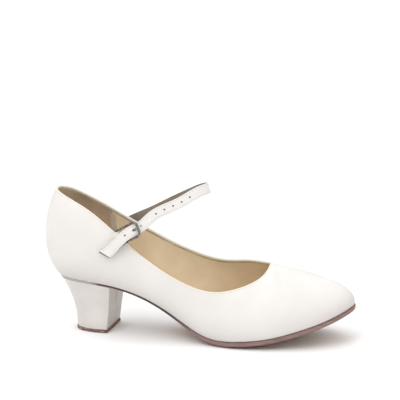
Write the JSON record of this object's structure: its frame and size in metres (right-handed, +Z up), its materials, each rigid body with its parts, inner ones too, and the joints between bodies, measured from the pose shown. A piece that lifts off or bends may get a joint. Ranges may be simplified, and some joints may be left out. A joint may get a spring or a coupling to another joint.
{
  "type": "character shoe",
  "caption": "Low-cut court shoe for the right foot with a flared covered heel, a leather sole and a buckled strap over the instep.",
  "frame": {"origin": "middle of the heel tip's underside, on the floor", "axes": "+X towards the toe, +Z up, -Y the outer (lateral) side of a right foot"},
  "size_m": [0.2402, 0.0728, 0.117],
  "materials": {
    "white_leather": "smooth, slightly glossy",
    "sock_leather": "matt, worn",
    "sole_leather": "matt, stained edge",
    "heel_cover": "smooth",
    "tip_leather": "matt, frayed edge",
    "dark_steel": "dark polished wire"
  },
  "bodies": {
    "root": {"upper": "white_leather", "insole": "sock_leather", "outsole": "sole_leather", "heel": "heel_cover", "heel_tip": "tip_leather", "strap": "white_leather", "buckle_tab": "white_leather", "buckle_frame": "dark_steel", "buckle_prong": "dark_steel"}
  },
  "joints": []
}
